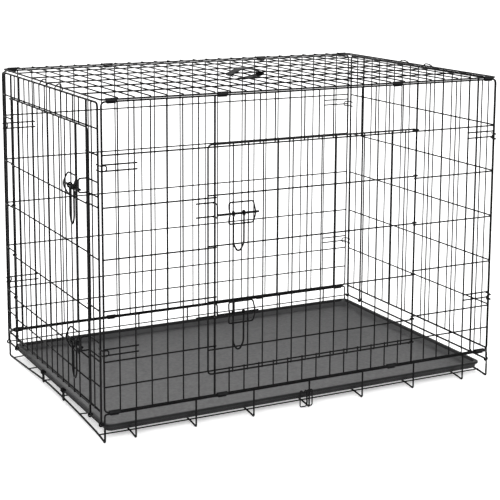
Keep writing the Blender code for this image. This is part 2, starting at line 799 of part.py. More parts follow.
def build_left_end(floor):
    left_end = empty("left_end_hinge", (-END_X, 0, END_HINGE_Z), floor)
    ride(left_end_panel(), left_end, black_wire)
    hinge = empty("end_door_hinge", (-END_X, END_HINGE_Y, SIDE_RAIL_Z), left_end)
    ride(end_door_panel(), hinge, black_wire)
    build_latches("end_door", LEFT, END_LATCH_Y, END_LATCH_LEVELS, left_end, hinge)


def build_latches(door_name, plane, post, levels, panel_body, door_body):
    for label, height in levels.items():
        name = f"{door_name}_{label}"
        ride(latch_keeper(f"{name}_keeper", plane, post, height), panel_body, black_wire)
        ride(latch_bracket(f"{name}_bracket", plane, post, height), door_body, black_wire)
        axis = plane.at(post + ROD_SPAN[0], height, ROD_OUT)
        slide = empty(f"{name}_bolt_slide", axis, door_body)
        ride(latch_bolt(f"{name}_bolt", plane, post, height), slide, black_wire)
        turn = empty(f"{name}_pull_hinge", axis, slide)
        ride(latch_pull(f"{name}_pull", plane, post, height), turn, black_wire)


clear_scene()
crate = new_collection(COLLECTION)
helpers = new_collection(HELPERS)
black_wire = principled("black_coated_wire", (0.012, 0.012, 0.013), 0.38)
clip_steel = principled("black_clip_steel", (0.020, 0.020, 0.021), 0.45)
pan_plastic = principled("dark_grey_pan_plastic", (0.045, 0.046, 0.048), 0.55)
strap_plastic = principled("black_strap_plastic", (0.015, 0.015, 0.016), 0.42)
build()
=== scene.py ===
"""Visual model of a folding two-door wire dog crate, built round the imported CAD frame.

Metres, +Z up, +X along the crate. Every wire is a swept tube with its bends, curls and
weld beads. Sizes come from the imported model's joints and boxes wherever they hold them.
"""

import json
import math

import bmesh
import bpy
from mathutils import Matrix, Vector


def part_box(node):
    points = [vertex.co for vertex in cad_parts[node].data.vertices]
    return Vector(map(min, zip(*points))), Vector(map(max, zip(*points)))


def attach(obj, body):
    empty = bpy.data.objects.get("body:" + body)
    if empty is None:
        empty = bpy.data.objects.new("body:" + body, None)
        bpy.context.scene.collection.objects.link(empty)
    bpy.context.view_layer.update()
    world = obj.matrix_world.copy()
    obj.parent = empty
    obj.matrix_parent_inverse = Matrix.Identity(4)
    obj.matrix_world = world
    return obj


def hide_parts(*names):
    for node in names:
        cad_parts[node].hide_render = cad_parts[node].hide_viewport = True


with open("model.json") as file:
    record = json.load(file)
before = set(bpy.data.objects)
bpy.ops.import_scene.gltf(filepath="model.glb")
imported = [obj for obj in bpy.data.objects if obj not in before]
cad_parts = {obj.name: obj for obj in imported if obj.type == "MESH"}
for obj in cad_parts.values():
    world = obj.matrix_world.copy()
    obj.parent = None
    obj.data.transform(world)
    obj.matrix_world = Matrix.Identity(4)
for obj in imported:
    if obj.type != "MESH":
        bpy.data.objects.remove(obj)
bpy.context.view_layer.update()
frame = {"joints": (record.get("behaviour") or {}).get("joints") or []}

joints = {joint["name"]: joint for joint in frame["joints"]}


def joint_place(name):
    return Vector(joints[name]["pos_m"])


# Wire radii
THICK = 0.0025
RAIL = 0.0021
THIN = 0.00165
LEVEL_WIRE = 0.00185
FLOOR_WIRE = 0.0022
PULL_WIRE = 0.0022
ROD = 0.0028
LATCH_WIRE = 0.0019
CURL_WIRE = THIN * 1.1
SIDES = 10

# Weld beads: half sizes along the panel, and out of it at a crossing and at a rail
BEAD = 0.0020
CROSS_BEAD_OUT = 0.0016
RAIL_BEAD_OUT = 0.0014
RAIL_BEAD_PLACE = 0.0023

# The frame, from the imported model
CAD_THICK = 0.0024
HALF_W = -joint_place("front_side_fold").y
FLOOR_RAIL_Z = joint_place("front_side_fold").z
TOP_Z = joint_place("top_fold").z
END_X = joint_place("right_end_fold").x
END_HINGE_Z = joint_place("right_end_fold").z
SIDE_LOW, SIDE_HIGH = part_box("back_panel")
HALF_L = SIDE_HIGH.x - CAD_THICK
SIDE_RAIL_Z = SIDE_LOW.z + CAD_THICK
SIDE_TOP_Z = SIDE_HIGH.z - CAD_THICK
_, END_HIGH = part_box("right_end_panel")
END_EDGE_Y = END_HIGH.y - CAD_THICK
END_TOP_Z = END_HIGH.z - CAD_THICK
SIDE_HINGE_X = joint_place("side_door_swing").x
END_HINGE_Y = joint_place("end_door_swing").y
LONG_GAPS = 27
SHORT_GAPS = 18
LEVELS = 6
PITCH = 2 * HALF_L / LONG_GAPS
LEVEL = (SIDE_TOP_Z - SIDE_RAIL_Z) / LEVELS
DOORWAY_GAPS = (7, 21)
DOORWAY_LEVELS = (5.5, 1)
SIDE_LATCH_X = DOORWAY_GAPS[0] * PITCH - HALF_L
END_LATCH_Y = -7 * PITCH

# How far a level runs past the post that it is welded on
LATCH_POST_PAST = 0.0045
POST_PAST = 0.0035
UPRIGHT_PAST = 0.0020

# Offsets out from a panel's plane
CROSS_OUT = 0.0031
LEVEL_OUT = 0.0007
DOOR_OUT = 0.0054

# Doors and their curls
DOOR_OVERHANG = 0.020
DOOR_SETBACK = 0.0094
DOOR_BAR_PITCH = 0.0393
DOOR_BAR_SHIFT = 0.0037
FRAME_BEND = 0.011
CURL = 0.0046
CURL_ARM = 0.006

# How far each of a pair of rails is drawn in towards the other by their clips
RAIL_DRAW = 0.0005

# Latch, measured from the latch post
ROD_OUT = 0.0173
ROD_SPAN = (-0.0010, 0.105)
BRACKET_SPAN = (0.0307, 0.0935)
BRACKET_WAIST = 0.0031
BRACKET_SHOULDER = (0.0040, 0.0120, 0.0198)
BRACKET_WAIST_HALF = 0.0035
BRACKET_HALF_HEIGHT = 0.0255
BRACKET_OUT = 0.0118
BRACKET_BEAD = (0.0024, 0.0021, 0.0014)
BRACKET_BEAD_OUT = 0.0104
ARCH_OUT = 0.0224
ARCH_HALF_HEIGHT = 0.006
PULL_LEGS = (0.0394, 0.0666)
PULL_STRAIGHT = 0.072
PULL_TIP = 0.0878
PULL_RING = 0.0052
KEEPER_STEP = -0.0043
KEEPER_LEGS = (0.0268, -0.0058)
KEEPER_STUB_X = -0.304
KEEPER_FOOT_OUT = 0.0010
KEEPER_BEAD = 0.0026

FLOOR_NODES = ("floor_grid", "floor_front_fence", "floor_back_fence")
FRONT_NODES = ("front_panel_left", "front_panel_right", "front_panel_header", "front_panel_sill")

# Levels of the short rungs and of the hooks that reach round them, counted down from the top rail
LEFT_RUNGS = (1.18, 1.30, 4.75, 4.87)
RIGHT_RUNGS = (1.12, 1.24, 4.69, 4.81)
LEFT_RUNG_END = 2 * PITCH - HALF_L + 0.006
RIGHT_RUNG_START = 25 * PITCH - HALF_L - 0.003
HOOK_COUNTS = (1.24, 4.81)
HOOK_REACH_IN = 0.0150
HOOK_TAIL = 0.010
HOOK_CLEARANCE = 0.0006
HOOK_HALF_HEIGHT = 0.0062

# Wire loops that stand over the top's end rails: the side's sign, then each loop's y and rise
TOP_HOOKS = {
    -1: ((0.0175, 0.0073), (-0.0915, 0.0073)),
    1: ((0.0625, 0.0058), (-0.052, 0.0058)),
}
TOP_HOOK_HALF = 0.0265
TOP_HOOK_OUT = 0.0034
TOP_HOOK_DROP = 0.0035

# Bows of the floor wires, as (y, height). The wire at the left end is bent further than the rest
LEFT_BOW = (
    (-0.345, 0.0034), (-0.317, 0.0090), (-0.195, 0.0155), (-0.072, 0.0195),
    (0.048, 0.0205), (0.180, 0.0120), (0.345, 0.0024),
)
BOW = (
    (-0.345, 0.0034), (-0.317, 0.0080), (-0.195, 0.0112), (0.0, 0.0136),
    (0.195, 0.0112), (0.317, 0.0080), (0.345, 0.0034),
)
BOW_STEPS = 24
BOW_INSET = 0.011
BOW_SOFTEN = 0.02
FLOOR_GAPS = 7
RUNS = 6
RUN_SPACING = 0.128
RUN_LIFT = 0.0014
RUN_OVERHANG = 0.0015
BACK_RUN_Y = HALF_W - 0.0026
BACK_RUN_Z = 0.042
RAIL_BEAD = (0.0030, 0.0028, 0.0030)
RUN_BEAD = (0.0026, 0.0024, 0.0020)
END_LEG_TOP = 0.034
RAIL_TAIL = 0.030

# The wires that the end panels turn on, and the hairpins that stop the pan
PIVOT_INSET = 0.0026
PIVOT_OVERHANG = 0.0012
PIVOT_BEND = 0.009
STOP_HALF = 0.004
STOP_RISE = 0.002

# Two small wire loops at the front, as (left, right)
FRONT_HAIRPINS = ((-0.0270, -0.0085), (-0.0075, 0.0065))
HAIRPIN_OUT = 0.0030
HAIRPIN_CURL = 0.0030
HAIRPIN_TOP = 0.0440
HAIRPIN_FOOT = 0.0064

# The band round the pan's edge that gets the darker copy of its plastic as painted shade, and the
# depth of its turned lip
PAN_SHADE_BAND = 0.0110
PAN_LIP = 0.0062

# Rail clips
CLIP_GAP = 0.0026
CLIP_RADIUS = 0.0034
CLIP_LIP = 0.0030
CLIP_LOWER_SHARE = 0.80
CLIP_ROWS = (-1.0, -0.93, 0.93, 1.0)
CLIP_SHEET = 0.0008
CLIP_EDGE = 0.0002

# Carrying strap
STRAP_SLACK = 0.0030
STRAP_GRIP = 0.0031
STRAP_THICK = 0.0026
STRAP_EDGE = 0.0006
STRAP_ROWS = (0.0, 0.06, 0.5, 0.94, 1.0)

# Studio
FLOOR_GLOW = 0.45
SKY_STRENGTH = 1.22

# Camera
CAMERA_PLACE = Vector((-1.58172, -3.08362, 1.16006))
CAMERA_YAW = -26.655
CAMERA_PITCH = -9.198
CAMERA_ROLL = 0.174
CAMERA_LENS = 96.90
CAMERA_SHIFT = (0.0354, -0.2102)


# Materials


def new_material(name):
    """A material, its node tree and its Principled shader."""
    material = bpy.data.materials.new(name)
    material.use_nodes = True
    tree = material.node_tree
    return material, tree, tree.nodes["Principled BSDF"]


def object_noise(tree, scale, detail=3.0, rough=0.55):
    """Noise that is fixed to the object."""
    place = tree.nodes.new("ShaderNodeTexCoord")
    noise = tree.nodes.new("ShaderNodeTexNoise")
    noise.inputs["Scale"].default_value = scale
    noise.inputs["Detail"].default_value = detail
    noise.inputs["Roughness"].default_value = rough
    tree.links.new(place.outputs["Object"], noise.inputs["Vector"])
    return noise


def ramp(tree, source, low, high, colours):
    """A colour ramp between two colours over part of the source's range."""
    node = tree.nodes.new("ShaderNodeValToRGB")
    node.color_ramp.elements[0].position = low
    node.color_ramp.elements[1].position = high
    node.color_ramp.elements[0].color = (*colours[0], 1.0)
    node.color_ramp.elements[1].color = (*colours[1], 1.0)
    tree.links.new(source, node.inputs["Fac"])
    return node


def grey(value):
    return (value, value, value)


def finish_material(name, colours, roughness, grain, bump_depth, bump_strength, gleam=0.5):
    """A coated or moulded finish: mottled colour, uneven gloss and a fine grain."""
    material, tree, shader = new_material(name)
    mottle = object_noise(tree, 34.0)
    colour = ramp(tree, mottle.outputs["Fac"], 0.35, 0.68, colours)
    tree.links.new(colour.outputs["Color"], shader.inputs["Base Color"])
    haze = object_noise(tree, 120.0, 4.0)
    gloss = ramp(tree, haze.outputs["Fac"], 0.3, 0.7, [grey(value) for value in roughness])
    tree.links.new(gloss.outputs["Color"], shader.inputs["Roughness"])
    fine = object_noise(tree, grain, 2.0, 0.6)
    bump = tree.nodes.new("ShaderNodeBump")
    bump.inputs["Strength"].default_value = bump_strength
    bump.inputs["Distance"].default_value = bump_depth
    tree.links.new(fine.outputs["Fac"], bump.inputs["Height"])
    tree.links.new(bump.outputs["Normal"], shader.inputs["Normal"])
    shader.inputs["Specular IOR Level"].default_value = gleam
    return material


wire_finish = finish_material(
    "black_wire_coating",
    colours=((0.0015, 0.0015, 0.0017), (0.0045, 0.0045, 0.0049)),
    roughness=(0.36, 0.52),
    grain=1400.0,
    bump_depth=0.00015,
    bump_strength=0.25,
    gleam=0.07,
)
clip_finish = finish_material(
    "black_clip_steel",
    colours=((0.003, 0.003, 0.0034), (0.008, 0.008, 0.0086)),
    roughness=(0.38, 0.54),
    grain=1800.0,
    bump_depth=0.0001,
    bump_strength=0.3,
    gleam=0.12,
)
pan_finish = finish_material(
    "black_pan_plastic",
    colours=((0.013, 0.013, 0.014), (0.019, 0.019, 0.020)),
    roughness=(0.36, 0.48),
    grain=900.0,
    bump_depth=0.0002,
    bump_strength=0.22,
)
# A darker copy of the pan's plastic: painted shade on the rim, the outer walls and every face that
# doesn't look up
pan_shade_finish = finish_material(
    "black_pan_painted_shade",
    colours=((0.004, 0.004, 0.0044), (0.009, 0.009, 0.0096)),
    roughness=(0.34, 0.46),
    grain=900.0,
    bump_depth=0.0002,
    bump_strength=0.22,
    gleam=0.14,
)
strap_finish = finish_material(
    "black_strap_plastic",
    colours=((0.003, 0.003, 0.0034), (0.007, 0.007, 0.0076)),
    roughness=(0.40, 0.52),
    grain=1500.0,
    bump_depth=0.0001,
    bump_strength=0.3,
    gleam=0.09,
)


# Mesh building


class Shape:
    """Vertices and faces of one piece, gathered from tubes, beads and rings."""

    def __init__(self):
        self.points = []
        self.faces = []

    def add(self, points, faces):
        start = len(self.points)
        self.points.extend(points)
        self.faces.extend(tuple(start + index for index in face) for face in faces)

    def piece(self, name, body, material, slot, *nodes):
        """Makes the object, and says which body it rides and which CAD nodes it replaces."""
        mesh = bpy.data.meshes.new(name)
        mesh.from_pydata([tuple(point) for point in self.points], [], self.faces)
        mesh.validate()
        tidy = bmesh.new()
        tidy.from_mesh(mesh)
        bmesh.ops.recalc_face_normals(tidy, faces=tidy.faces)
        tidy.to_mesh(mesh)
        tidy.free()
        for polygon in mesh.polygons:
            polygon.use_smooth = True
        mesh.materials.append(material)
        obj = bpy.data.objects.new(name, mesh)
        bpy.context.scene.collection.objects.link(obj)
        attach(obj, body)
        if nodes:
            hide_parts(*nodes)
        return obj


def rounded(points, bend, closed=False, steps=5):
    """The path with each corner turned into a curve that starts about bend before it."""
    points = [Vector(point) for point in points]
    count = len(points)
    result = []
    for index, point in enumerate(points):
        if not closed and index in (0, count - 1):
            result.append(point)
            continue
        before = points[index - 1] - point
        after = points[(index + 1) % count] - point
        reach = min(bend, before.length * 0.49, after.length * 0.49)
        start = point + before.normalized() * reach
        end = point + after.normalized() * reach
        for step in range(steps + 1):
            t = step / steps
            result.append(start * (1 - t) ** 2 + point * 2 * t * (1 - t) + end * t ** 2)
    return result


def without_repeats(path):
    kept = [path[0]]
    for point in path[1:]:
        if (point - kept[-1]).length > 1e-6:
            kept.append(point)
    return kept


def ring_axes(path, closed):
    """Two axes across the path at each point, carried along it without twisting."""
    count = len(path)
    tangents = []
    for index in range(count):
        if closed:
            tangent = path[(index + 1) % count] - path[index - 1]
        else:
            tangent = path[min(index + 1, count - 1)] - path[max(index - 1, 0)]
        tangents.append(tangent.normalized())
    helper = Vector((0, 0, 1)) if abs(tangents[0].z) < 0.9 else Vector((1, 0, 0))
    normal = tangents[0].cross(helper).normalized()
    axes = []
    for tangent in tangents:
        normal = (normal - tangent * normal.dot(tangent)).normalized()
        axes.append((normal, tangent.cross(normal)))
    if closed:
        last = axes[-1][0]
        first, side = axes[0]
        carried = (last - tangents[0] * last.dot(tangents[0])).normalized()
        twist = math.atan2(carried.dot(side), carried.dot(first))
        for index, (one, two) in enumerate(axes):
            turn = -twist * index / count
            cos, sin = math.cos(turn), math.sin(turn)
            axes[index] = (one * cos + two * sin, two * cos - one * sin)
    return tangents, axes


def tube(shape, path, radius, closed=False, sides=SIDES):
    """A round wire along the path, with slightly domed ends."""
    path = without_repeats([Vector(point) for point in path])
    if closed and (path[0] - path[-1]).length < 1e-6:
        path.pop()
    tangents, axes = ring_axes(path, closed)
    rings = [(point, axes[index], radius) for index, point in enumerate(path)]
    if not closed:
        rings.insert(0, (path[0] - tangents[0] * radius * 0.22, axes[0], radius * 0.72))
        rings.append((path[-1] + tangents[-1] * radius * 0.22, axes[-1], radius * 0.72))
    points = []
    for centre, (one, two), size in rings:
        for side in range(sides):
            angle = 2 * math.pi * side / sides
            points.append(centre + (one * math.cos(angle) + two * math.sin(angle)) * size)
    count = len(rings)
    faces = []
    for index in range(count if closed else count - 1):
        following = (index + 1) % count
        for side in range(sides):
            beside = (side + 1) % sides
            faces.append((
                index * sides + side,
                index * sides + beside,
                following * sides + beside,
                following * sides + side,
            ))
    if not closed:
        faces.append(tuple(reversed(range(sides))))
        faces.append(tuple((count - 1) * sides + side for side in range(sides)))
    shape.add(points, faces)


def unit_ball():
    ball = bmesh.new()
    bmesh.ops.create_icosphere(ball, subdivisions=2, radius=1.0)
    points = [vert.co.copy() for vert in ball.verts]
    faces = [tuple(vert.index for vert in face.verts) for face in ball.faces]
    ball.free()
    return points, faces


BALL_POINTS, BALL_FACES = unit_ball()


def bead(shape, place, size):
    """A weld bead: a ball stretched to the three half sizes."""
    shape.add(
        [place + Vector((p.x * size[0], p.y * size[1], p.z * size[2])) for p in BALL_POINTS],
        BALL_FACES,
    )


def ring_path(centre, across, along, radius, start=0.0, sweep=360.0, steps=16):
    """Points round a circle, its angles in degrees, counted from across towards along."""
    path = []
    for step in range(steps + 1):
        angle = math.radians(start + sweep * step / steps)
        path.append(centre + (across * math.cos(angle) + along * math.sin(angle)) * radius)
    return path


class Plane:
    """A panel's plane: u runs along it, v up or across it, and out away from the crate."""

    def __init__(self, origin, u, v, out):
        self.origin = Vector(origin)
        self.u = Vector(u)
        self.v = Vector(v)
        self.out = Vector(out)

    def at(self, u, v, out=0.0):
        return self.origin + self.u * u + self.v * v + self.out * out

    def path(self, points):
        return [self.at(*point) for point in points]

    def size(self, u, v, out):
        """Half sizes along x, y and z of something u by v by out."""
        total = self.u * u + self.v * v + self.out * out
        return tuple(abs(value) for value in total)


FRONT = Plane((0, -HALF_W, 0), (1, 0, 0), (0, 0, 1), (0, -1, 0))
BACK = Plane((0, HALF_W, 0), (1, 0, 0), (0, 0, 1), (0, 1, 0))
TOP = Plane((0, 0, TOP_Z), (1, 0, 0), (0, 1, 0), (0, 0, 1))
LEFT = Plane((-END_X, 0, 0), (0, 1, 0), (0, 0, 1), (-1, 0, 0))
RIGHT = Plane((END_X, 0, 0), (0, 1, 0), (0, 0, 1), (1, 0, 0))


def long_place(gap):
    return gap * PITCH - HALF_L


def short_place(gap):
    return (gap - SHORT_GAPS / 2) * PITCH


def level_height(count):
    """The height of a level, counted down from the side panels' top rail."""
    return SIDE_TOP_Z - count * LEVEL


def frame_loop(shape, plane, low, high):
    """A panel's outer wire, with round corners."""
    corners = [(low[0], low[1]), (high[0], low[1]), high, (low[0], high[1])]
    tube(shape, rounded(plane.path(corners), FRAME_BEND, closed=True, steps=6), RAIL, closed=True)


def grid(shape, plane, levels, crosses, side, base=0.0):
    """Thin wires both ways, with a weld bead wherever two cross. A span is (place, from, to)."""
    level_out = base + side * LEVEL_OUT
    cross_out = base + side * CROSS_OUT
    for v, start, end in levels:
        tube(shape, plane.path([(start, v, level_out), (end, v, level_out)]), LEVEL_WIRE)
    for u, low, high in crosses:
        tube(shape, plane.path([(u, low, cross_out), (u, high, cross_out)]), THIN)
        for v, start, end in levels:
            if start - 0.001 < u < end + 0.001 and low - 0.002 < v < high + 0.002:
                place = plane.at(u, v, (level_out + cross_out) / 2)
                bead(shape, place, plane.size(BEAD, BEAD, CROSS_BEAD_OUT))


def rail_beads(shape, plane, crosses, rails, side, base=0.0):
    """Beads where the thin crossing wires are welded on a thick rail."""
    for u, low, high in crosses:
        for v in rails:
            if low - 0.003 < v < high + 0.003:
                place = plane.at(u, v, base + side * RAIL_BEAD_PLACE)
                bead(shape, place, plane.size(BEAD, BEAD * 1.15, RAIL_BEAD_OUT))


def posts(shape, plane, places, low, high):
    """Thick wires that stand in a panel's plane."""
    for u in places:
        tube(shape, plane.path([(u, low), (u, high)]), THICK)


def corner_rungs():
    """Pairs of short wires near each corner post, which the end panels' hooks reach round."""
    spans = []
    for count in LEFT_RUNGS:
        spans.append((level_height(count), -HALF_L, LEFT_RUNG_END))
    for count in RIGHT_RUNGS:
        spans.append((level_height(count), RIGHT_RUNG_START, HALF_L))
    return spans


def front_uprights():
    """The front panel's thin uprights, cut short above and below its doorway."""
    hole_low, hole_high = (level_height(count) for count in DOORWAY_LEVELS)
    spans = []
    for gap in range(1, LONG_GAPS):
        if gap in DOORWAY_GAPS:
            continue
        if DOORWAY_GAPS[0] < gap < DOORWAY_GAPS[1]:
            spans.append((long_place(gap), hole_high - UPRIGHT_PAST, SIDE_TOP_Z))
            spans.append((long_place(gap), SIDE_RAIL_Z, hole_low + UPRIGHT_PAST))
        else:
            spans.append((long_place(gap), SIDE_RAIL_Z, SIDE_TOP_Z))
    return spans


def make_front_panel():
    shape = Shape()
    levels = [(level_height(count), -HALF_L, HALF_L) for count in sorted(DOORWAY_LEVELS)]
    for count in (2, 3, 4, 5):
        levels.append((level_height(count), -HALF_L, SIDE_LATCH_X + LATCH_POST_PAST))
        levels.append((level_height(count), SIDE_HINGE_X - POST_PAST, HALF_L))
    for height in side_latches.values():
        for leg in KEEPER_LEGS:
            levels.append((height + leg, KEEPER_STUB_X, SIDE_LATCH_X))
    crosses = front_uprights()
    frame_loop(shape, FRONT, (-HALF_L, SIDE_RAIL_Z - RAIL_DRAW), (HALF_L, SIDE_TOP_Z + RAIL_DRAW))
    posts(shape, FRONT, (SIDE_LATCH_X, SIDE_HINGE_X), SIDE_RAIL_Z, SIDE_TOP_Z)
    grid(shape, FRONT, levels + corner_rungs(), crosses, -1)
    rail_beads(shape, FRONT, crosses, (SIDE_RAIL_Z, SIDE_TOP_Z), -1)
    shape.piece("front_wirework", "front_side", wire_finish, "coated_wire", *FRONT_NODES)


def make_back_panel():
    shape = Shape()
    levels = [(level_height(count), -HALF_L, HALF_L) for count in (1, 2, 3, 4, 5, 5.5)]
    crosses = [(long_place(gap), SIDE_RAIL_Z, SIDE_TOP_Z) for gap in range(1, LONG_GAPS)]
    frame_loop(shape, BACK, (-HALF_L, SIDE_RAIL_Z - RAIL_DRAW), (HALF_L, SIDE_TOP_Z + RAIL_DRAW))
    grid(shape, BACK, levels + corner_rungs(), crosses, 1)
    rail_beads(shape, BACK, crosses, (SIDE_RAIL_Z, SIDE_TOP_Z), 1)
    shape.piece("back_wirework", "back_side", wire_finish, "coated_wire", "back_panel")


def make_top_panel():
    shape = Shape()
    levels = [(-HALF_W + 2 * HALF_W * i / LEVELS, -HALF_L, HALF_L) for i in range(1, LEVELS)]
    crosses = [(long_place(gap), -HALF_W, HALF_W) for gap in range(1, LONG_GAPS)]
    frame_loop(shape, TOP, (-HALF_L, -HALF_W), (HALF_L, HALF_W))
    grid(shape, TOP, levels, crosses, 1)
    rail_beads(shape, TOP, crosses, (-HALF_W, HALF_W), 1)
    for side in (-1, 1):
        for y, peak in TOP_HOOKS[side]:
            top_hook(shape, side, y, peak)
    shape.piece("top_wirework", "top", wire_finish, "coated_wire", "top_panel")


def top_hook(shape, side, y, rise):
    """A bent wire loop that stands over an end rail of the top panel."""
    x = side * HALF_L
    outer = x + side * TOP_HOOK_OUT
    foot = TOP_Z - TOP_HOOK_DROP
    points = [
        (outer, y - TOP_HOOK_HALF, foot),
        (outer, y - TOP_HOOK_HALF * 0.62, TOP_Z + rise * 0.5),
        (x, y - TOP_HOOK_HALF * 0.25, TOP_Z + rise),
        (x, y + TOP_HOOK_HALF * 0.25, TOP_Z + rise),
        (outer, y + TOP_HOOK_HALF * 0.62, TOP_Z + rise * 0.5),
        (outer, y + TOP_HOOK_HALF, foot),
    ]
    tube(shape, rounded(points, 0.006), THIN)


def make_end_panel(name, plane, body, levels, crosses, node):
    shape = Shape()
    foot = END_HINGE_Z + CURL
    outline = [
        (END_EDGE_Y, foot),
        (END_EDGE_Y, END_TOP_Z),
        (-END_EDGE_Y, END_TOP_Z),
        (-END_EDGE_Y, foot),
    ]
    tube(shape, rounded(plane.path(outline), FRAME_BEND, steps=6), THICK)
    tube(shape, plane.path([(-END_EDGE_Y, SIDE_RAIL_Z), (END_EDGE_Y, SIDE_RAIL_Z)]), THICK)
    posts(shape, plane, (END_LATCH_Y, END_HINGE_Y), foot, END_TOP_Z)
    grid(shape, plane, levels, crosses, 1)
    rail_beads(shape, plane, crosses, (SIDE_RAIL_Z, END_TOP_Z), 1)
    for y in (-END_EDGE_Y, END_LATCH_Y, END_HINGE_Y, END_EDGE_Y):
        ring = ring_path(plane.at(y, END_HINGE_Z), plane.out, plane.v, CURL, 80.0, -305.0, 18)
        tube(shape, ring, THIN * 1.2)
    for count in HOOK_COUNTS:
        for edge in (-1, 1):
            corner_hook(shape, plane, edge, level_height(count))
    shape.piece(name, body, wire_finish, "coated_wire", node)


def corner_hook(shape, plane, edge, height):
    """A wire hook on the end panel's edge that reaches round the side panel's corner post."""
    inward = Vector((-plane.out.x, 0, 0))
    across = Vector((0, edge, 0))
    root = Vector((plane.origin.x, edge * END_EDGE_Y, height))
    reach = HALF_W - END_EDGE_Y + THICK + THIN + HOOK_CLEARANCE
    rise = Vector((0, 0, HOOK_HALF_HEIGHT))
    depth = inward * HOOK_REACH_IN
    tail = across * HOOK_TAIL
    path = [
        root - tail + rise,
        root + across * reach + rise,
        root + across * reach + depth + rise,
        root + across * reach + depth - rise,
        root + across * reach - rise,
        root - tail - rise,
    ]
    tube(shape, rounded(path, 0.0058), THIN * 0.95)


def make_right_end():
    levels = [(level_height(count), -END_EDGE_Y, END_EDGE_Y) for count in (1, 2, 3, 4, 5)]
    crosses = []
    for gap in range(1, SHORT_GAPS):
        if abs(abs(short_place(gap)) - END_HINGE_Y) > PITCH / 2:
            crosses.append((short_place(gap), SIDE_RAIL_Z, END_TOP_Z))
    make_end_panel("right_end_wirework", RIGHT, "right_end", levels, crosses, "right_end_panel")


def make_left_end():
    levels = [(level_height(0.5), -END_EDGE_Y, END_EDGE_Y)]
    for count in (1, 2, 3, 4, 5, 5.5):
        levels.append((level_height(count), -END_EDGE_Y, END_LATCH_Y + POST_PAST))
        levels.append((level_height(count), END_HINGE_Y - POST_PAST, END_EDGE_Y))
    for height in end_latches.values():
        for leg in KEEPER_LEGS:
            stub = height + leg
            if all(abs(stub - taken) > 2 * THICK for taken, *_ in levels):
                levels.append((stub, -END_EDGE_Y, END_LATCH_Y))
    crosses = [(short_place(gap), level_height(0.5) - UPRIGHT_PAST, END_TOP_Z) for gap in range(3, 16)]
    crosses += [(short_place(gap), SIDE_RAIL_Z, END_TOP_Z) for gap in (1, 17)]
    make_end_panel("left_end_wirework", LEFT, "left_end", levels, crosses, "left_end_panel")


def door_bar(gap):
    """How far a door's upright stands from the latch post."""
    return gap * DOOR_BAR_PITCH + DOOR_BAR_SHIFT


def make_door(name, body, plane, latch, hinge, edges, counts, curl_counts, node):
    """A door: a thick wire round three sides, its grid, and curls round the hinge post."""
    shape = Shape()
    low, high = (level_height(count) for count in edges)
    free = latch - DOOR_OVERHANG
    shut = hinge - DOOR_SETBACK
    levels = [(level_height(count), free, shut) for count in counts]
    crosses = [(latch + door_bar(gap), low, high) for gap in range(1, 14)]
    outline = ((shut, high), (free, high), (free, low), (shut, low))
    path = [plane.at(u, v, DOOR_OUT) for u, v in outline]
    tube(shape, rounded(path, FRAME_BEND, steps=6), RAIL)
    grid(shape, plane, levels, crosses, 1, base=DOOR_OUT)
    rail_beads(shape, plane, crosses, (low, high), 1, base=DOOR_OUT)
    for count in curl_counts:
        door_curl(shape, plane, shut, hinge, level_height(count))
    shape.piece(name, body, wire_finish, "coated_wire", node)


def door_curl(shape, plane, shut, hinge, height):
    """A wire that leaves the door's edge and turns round the hinge post."""
    centre = plane.at(hinge, height)
    out = DOOR_OUT + LEVEL_OUT
    arm = [
        plane.at(shut - CURL_ARM, height, out),
        plane.at(hinge - CURL * 0.9, height, DOOR_OUT - 0.0012),
    ]
    ring = ring_path(centre, plane.out, plane.u, CURL, -35.0, 300.0, 16)
    tube(shape, rounded([*arm, *ring], 0.002, steps=2), CURL_WIRE)


# Latches


def latch_heights(door):
    """Heights of a door's two latches, from their joints."""
    return {label: joint_place(f"{door}_{label}_pull_swing").z for label in ("upper", "lower")}


side_latches = latch_heights("side_door")
end_latches = latch_heights("end_door")


def make_bracket(name, plane, post, height, body):
    """The bolt's guide: square on the hinge side, and pinched in at the bolt on the other."""
    shape = Shape()
    near, far = (post + span for span in BRACKET_SPAN)
    top = BRACKET_HALF_HEIGHT
    waist = near - BRACKET_WAIST
    step, shoulder, shoulder_out = BRACKET_SHOULDER
    outline = (
        (near, top, BRACKET_OUT),
        (far, top, BRACKET_OUT),
        (far, ARCH_HALF_HEIGHT, ARCH_OUT),
        (far, -ARCH_HALF_HEIGHT, ARCH_OUT),
        (far, -top, BRACKET_OUT),
        (near, -top, BRACKET_OUT),
        (near - step, -shoulder, shoulder_out),
        (waist, -BRACKET_WAIST_HALF, ARCH_OUT),
        (waist, BRACKET_WAIST_HALF, ARCH_OUT),
        (near - step, shoulder, shoulder_out),
    )
    path = [plane.at(u, height + v, out) for u, v, out in outline]
    tube(shape, rounded(path, 0.0055, closed=True), LATCH_WIRE, closed=True)
    for gap in (1, 2):
        for side in (-1, 1):
            place = plane.at(post + door_bar(gap), height + side * top, BRACKET_BEAD_OUT)
            bead(shape, place, plane.size(*BRACKET_BEAD))
    shape.piece(f"{name}_bracket_wire", body, wire_finish, "coated_wire", f"{name}_bracket")


def make_bolt(name, plane, post, height, body):
    shape = Shape()
    start, end = (post + u for u in ROD_SPAN)
    points = [plane.at(start, height, ROD_OUT), plane.at(end, height, ROD_OUT)]
    tube(shape, points, ROD, sides=14)
    shape.piece(f"{name}_bolt_rod", body, wire_finish, "coated_wire", f"{name}_bolt")


